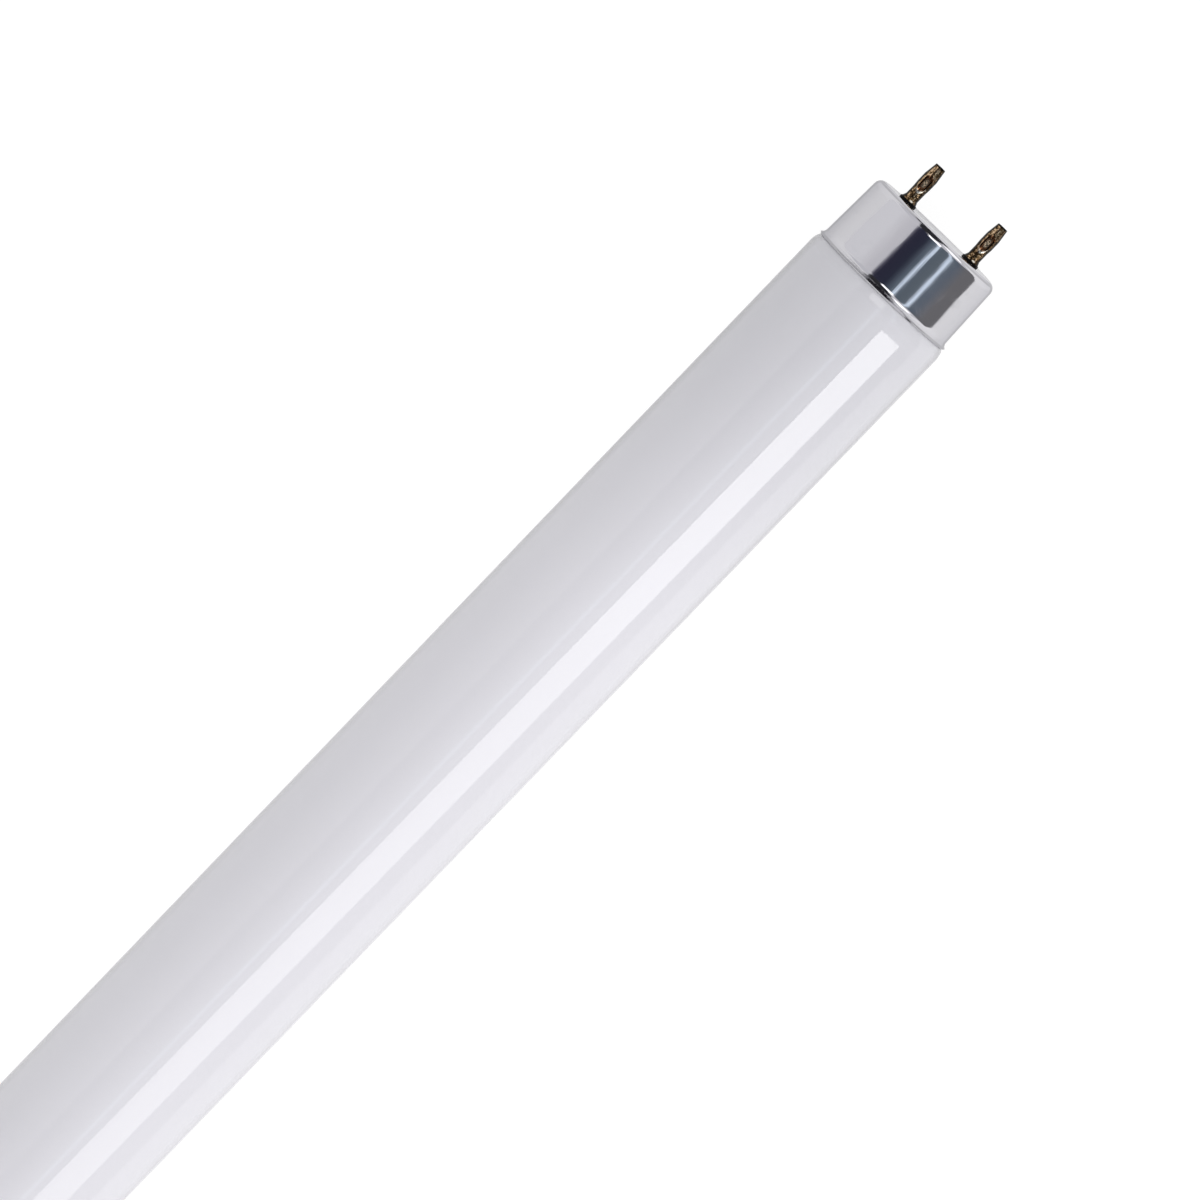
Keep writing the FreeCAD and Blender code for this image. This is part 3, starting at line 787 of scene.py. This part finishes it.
def new_glow(title, across, along=EVEN, strength=1.0):
    """A material that glows in the colours of one ramp, dimmed by another ramp along the card."""
    glow = bpy.data.materials.new(title)
    glow.use_nodes = True
    tree = glow.node_tree
    tree.nodes.clear()
    apart = place(tree, "SeparateXYZ")
    tree.links.new(place(tree, "UVMap", uv_map="card").outputs["UV"], apart.inputs["Vector"])
    dimmed = place(tree, "Mix", data_type="RGBA", blend_type="MULTIPLY")
    dimmed.inputs[0].default_value = 1.0
    tree.links.new(new_ramp(tree, apart.outputs["X"], across), dimmed.inputs[6])
    tree.links.new(new_ramp(tree, apart.outputs["Y"], along), dimmed.inputs[7])
    light = feed(tree, place(tree, "Emission"), Strength=strength)
    tree.links.new(dimmed.outputs[2], light.inputs["Color"])
    tree.links.new(light.outputs[0], place(tree, "OutputMaterial").inputs["Surface"])
    return glow


def hang_in_mirrors(title, mesh, glow):
    """Put a card in the studio, to be seen in mirrors only."""
    card = new_stage_piece(title, mesh, glow)
    for ray in ("camera", "diffuse", "transmission", "volume_scatter", "shadow"):
        setattr(card, f"visible_{ray}", False)
    print(f"{title}: {len(card.data.polygons)} faces")


print("Ready to make cards")

# %% [markdown]
# Most cards bend round the tube's axis, because the tube mirrors an angle and not a distance. An angle
# of 0 is straight up, and a positive one leans towards the front. Such a card is one edge along the
# tube, spun about the axis. Its own UV map says how far across and along it a point lies, and its far
# end can be twisted, so that the band slants along the tube.

# %% A bent card
SPIN_STEP = math.radians(4)


def map_card(mesh, start, end, along):
    """Give a bent card its UV map: across it by angle, and along it by X."""
    layer = mesh.loops.layers.uv.new("card")
    for face in mesh.faces:
        for loop in face.loops:
            spot = loop.vert.co
            across = (math.atan2(-spot.y, spot.z) - start) / (end - start)
            loop[layer].uv = (across, (spot.x - along[0]) / (along[1] - along[0]))


def hang_card(title, angles, reach, along, stops, strength=1.0, fade=EVEN, twist=0.0):
    """A bent card round the tube's axis, from one angle to another and from one X to another."""
    start, end = (math.radians(angle) for angle in angles)
    mesh = bmesh.new()
    edge = [mesh.verts.new((x, -math.sin(start) * reach, math.cos(start) * reach)) for x in along]
    mesh.edges.new(edge)
    steps = math.ceil((end - start) / SPIN_STEP)
    bmesh.ops.spin(mesh, geom=mesh.verts[:] + mesh.edges[:], cent=(0, 0, 0), axis=(1, 0, 0),
                   angle=end - start, steps=steps, use_merge=False, use_duplicate=False)
    map_card(mesh, start, end, along)
    far_end = [vert for vert in mesh.verts if abs(vert.co.x - along[0]) < MM]
    turned = Matrix.Rotation(math.radians(twist), 3, "X")
    bmesh.ops.rotate(mesh, verts=far_end, cent=(0, 0, 0), matrix=turned)
    hang_in_mirrors(title, mesh, new_glow(title, stops, fade, strength))


print("A bent card has a face for every", round(math.degrees(SPIN_STEP)), "degrees")

# %% [markdown]
# The long soft lamp at the front shows as the strip on the glass. It stops short of the cap, so the
# strip ends square just before it. It is brightest at that end, and its twist lets the mirrored strip
# slant a little along the tube.

# %% Hang the strip lamp
STRIP_START, STRIP_END = -0.75, 0.2492
STRIP_STOPS = [(0.0, (1.0, 1.0, 1.0)), (1.0, (0.85, 0.85, 0.85))]
STRIP_FADE = [
    (0.0, (0.46, 0.46, 0.46)),
    (0.72, (0.47, 0.47, 0.47)),
    (0.88, (0.55, 0.55, 0.55)),
    (0.97, (0.84, 0.84, 0.84)),
    (1.0, (0.95, 0.95, 0.95)),
]

hang_card("strip_lamp", angles=(35.6, 71.2), reach=0.60, along=(STRIP_START, STRIP_END), stops=STRIP_STOPS,
          strength=5.9, fade=STRIP_FADE, twist=-33.6)

# %% [markdown]
# Two narrow slits of light show beside the lens. Each is a card of its own, bluish white in the middle
# and dark at both edges, so that the line it makes is soft. One runs the whole length of the tube, and
# the other one starts where the strip ends.

# %% Hang the two slits
FAR_LEFT, FLAG_END = -0.9, 0.80
SLIT_START = 0.249
SLIT = (0.75, 0.87, 1.0)
SLIT_EDGE = (0.235, 0.27, 0.31)
SLIT_STOPS = [(0.0, SLIT_EDGE), (0.40, SLIT), (0.60, SLIT), (1.0, SLIT_EDGE)]

hang_card("slit_near", angles=(10.9, 17.8), reach=0.66, along=(FAR_LEFT, FLAG_END), stops=SLIT_STOPS,
          strength=1.24)
hang_card("slit_far", angles=(35.4, 43.9), reach=0.66, along=(SLIT_START, FLAG_END), stops=SLIT_STOPS,
          strength=1.21)

# %% [markdown]
# Behind the slits hangs the dark flag that keeps stray light off the lens. Its greys, from the back
# round to the front, make the dark band of the cap and the grey band of the glass. A second, small
# flag hangs low and close in front of the cap.

# %% Hang the dark flags
GREY_FLAG = (0.19, 0.188, 0.195)
DARK_STOPS = [
    (0.0, (0.19, 0.185, 0.23)),
    (0.04, (0.03, 0.03, 0.055)),
    (0.19, (0.03, 0.034, 0.058)),
    (0.28, (0.12, 0.15, 0.19)),
    (0.45, (0.133, 0.163, 0.193)),
    (0.58, (0.145, 0.176, 0.212)),
    (0.66, (0.13, 0.158, 0.20)),
    (0.82, GREY_FLAG),
    (1.0, GREY_FLAG),
]
LOW_STOPS = [(0.0, GREY_FLAG), (1.0, GREY_FLAG)]

hang_card("dark_flag", angles=(-27.2, 94.0), reach=0.70, along=(FAR_LEFT, FLAG_END), stops=DARK_STOPS)
hang_card("low_flag", angles=(72.0, 94.0), reach=0.22, along=(0.264, 0.44), stops=LOW_STOPS)

# %% [markdown]
# The wall of the tent closes the round at the back. It is palest half way up, and dims a little
# towards the table and more towards the flag.

# %% Hang the back wall
WALL_STOPS = [
    (0.0, (0.79, 0.79, 0.81)),
    (0.27, (0.83, 0.83, 0.85)),
    (0.56, (0.87, 0.87, 0.89)),
    (0.75, (0.87, 0.87, 0.89)),
    (0.90, (0.74, 0.735, 0.76)),
    (1.0, (0.71, 0.71, 0.74)),
]

hang_card("back_wall", angles=(-150.0, -27.2), reach=0.90, along=(FAR_LEFT, FLAG_END), stops=WALL_STOPS)

# %% [markdown]
# The lip and the round corner of the cap look past the end of the tube, so something has to stand
# there as well. A bent card can't close that end, so those cards are flat. Most face the cap, and one
# stands upright on the table.

# %% A flat card
CAP_MIDDLE = Vector((CAP_START + 6.5 * MM, 0.0, 0.0))


def one_colour(title, colour, strength=1.0):
    """A glow of one colour all over."""
    return new_glow(title, [(0.0, colour), (1.0, colour)], strength=strength)


def hang_panel(title, angle, tilt, reach, size, colour, strength=1.0):
    """A flat card that faces the right-hand cap, at an angle round the axis and tilted towards +X."""
    mesh = bmesh.new()
    bmesh.ops.create_grid(mesh, x_segments=1, y_segments=1, size=0.5, calc_uvs=False)
    aimed = Matrix.Rotation(math.radians(angle), 4, "X") @ Matrix.Rotation(math.radians(tilt), 4, "Y")
    hung = Matrix.Translation((0, 0, reach)) @ Matrix.Diagonal((*size, 1.0, 1.0))
    bmesh.ops.transform(mesh, matrix=Matrix.Translation(CAP_MIDDLE) @ aimed @ hung, verts=mesh.verts)
    hang_in_mirrors(title, mesh, one_colour(title, colour, strength))


def stand_flag(title, x, sides, top, colour):
    """An upright card on the table past the end of the cap, from one Y to another and up to a height."""
    mesh = bmesh.new()
    foot = CAD_BOX[0].z + MM / 10
    corners = ((sides[0], foot), (sides[1], foot), (sides[1], top), (sides[0], top))
    mesh.faces.new([mesh.verts.new((x, y, z)) for y, z in corners])
    hang_in_mirrors(title, mesh, one_colour(title, colour))


print("Flat cards face the point", [round(value, 4) for value in CAP_MIDDLE])

# %% [markdown]
# Two of the flat cards are lamps: one high, beside the lens, and one low, in front of the end. They
# show as the bright crescents before the lip and on the round corner.

# %% Hang two lamps past the end
LAMP_WHITE = (1.0, 1.0, 1.0)
LAMP_STRENGTH = 2.0

hang_panel("end_lamp_high", angle=5.4, tilt=33.0, reach=0.46, size=(0.162, 0.178), colour=LAMP_WHITE,
           strength=LAMP_STRENGTH)
hang_panel("end_lamp_low", angle=62.0, tilt=62.0, reach=0.46, size=(0.195, 0.144), colour=LAMP_WHITE,
           strength=LAMP_STRENGTH)

# %% [markdown]
# A dark panel hangs below the high lamp and further out along the tube. The upright flag on the table
# darkens the horizon, and behind everything a grey wall stands square to the tube.

# %% Hang the flags and the wall past the end
hang_panel("end_flag", angle=-13.0, tilt=63.3, reach=0.551, size=(0.5765, 0.29), colour=(0.03, 0.03, 0.035))
stand_flag("horizon_flag", x=CAP_END + 80.5 * MM, sides=(-0.019, 0.030), top=0.007, colour=(0.04, 0.04, 0.05))
hang_panel("end_wall", angle=0.0, tilt=90.0, reach=0.95, size=(2.6, 2.6), colour=(0.72, 0.72, 0.75))

# %% [markdown]
# Two soft lamps shape the white powder: one at the front lifts the near side, and one overhead, a
# little to the back, rounds the top. The tent fills the rest. The lamps are left out of the mirrors,
# where the cards stand for them.

# %% The soft lamps
LAMP_REACH = 1.2
LAMP_SIZE = (2.0, 0.9)
LAMP_X = 0.05


def hang_lamp(title, angle, power):
    """A soft rectangular lamp, aimed at the tube's axis from an angle round it."""
    light = bpy.data.lights.new(title, "AREA")
    light.shape = "RECTANGLE"
    light.size, light.size_y = LAMP_SIZE
    light.energy = power
    lamp = bpy.data.objects.new(title, light)
    bpy.context.scene.collection.objects.link(lamp)
    hung = Matrix.Translation((LAMP_X, 0, LAMP_REACH))
    lamp.matrix_world = Matrix.Rotation(math.radians(angle), 4, "X") @ hung
    lamp.visible_camera = False
    lamp.visible_glossy = False
    print(f"{title}: {power} W from {angle} degrees")


hang_lamp("front_lamp", angle=60.0, power=5.6)
hang_lamp("top_lamp", angle=-20.0, power=4.9)

# %% [markdown]
# The camera is a long lens on a stand almost straight above the cap. A short lens close by would let
# the sides of the tube run together, and a long one keeps them nearly parallel. It leans a little past
# the end of the tube, so that the end face shows as a sliver, and it is rolled so that the tube runs
# corner to corner. The tube's far end runs out of the picture, as in the catalogue view.

# %% The camera
AIM = Vector((0.22029, -0.0017, 0.0))
DISTANCE = 0.840
LEAN = math.radians(6.85)
ROLL = math.radians(46.06)
LENS = 169.1


def set_up_camera():
    data = bpy.data.cameras.new("camera")
    data.lens = LENS
    data.dof.use_dof = False
    camera = bpy.data.objects.new("camera", data)
    bpy.context.scene.collection.objects.link(camera)
    lean = Matrix.Rotation(LEAN, 4, "Y")
    roll = Matrix.Rotation(-ROLL, 4, "Z")
    camera.matrix_world = Matrix.Translation(AIM) @ lean @ roll @ Matrix.Translation((0, 0, DISTANCE))
    bpy.context.scene.camera = camera
    return camera


CAMERA = set_up_camera()
print("Camera at", [round(value, 4) for value in CAMERA.matrix_world.translation])

# %% [markdown]
# A view that softens highlights would turn the white table grey, and the standard view keeps colours
# as they are written.

# %% Finish
bpy.context.scene.view_settings.view_transform = "Standard"
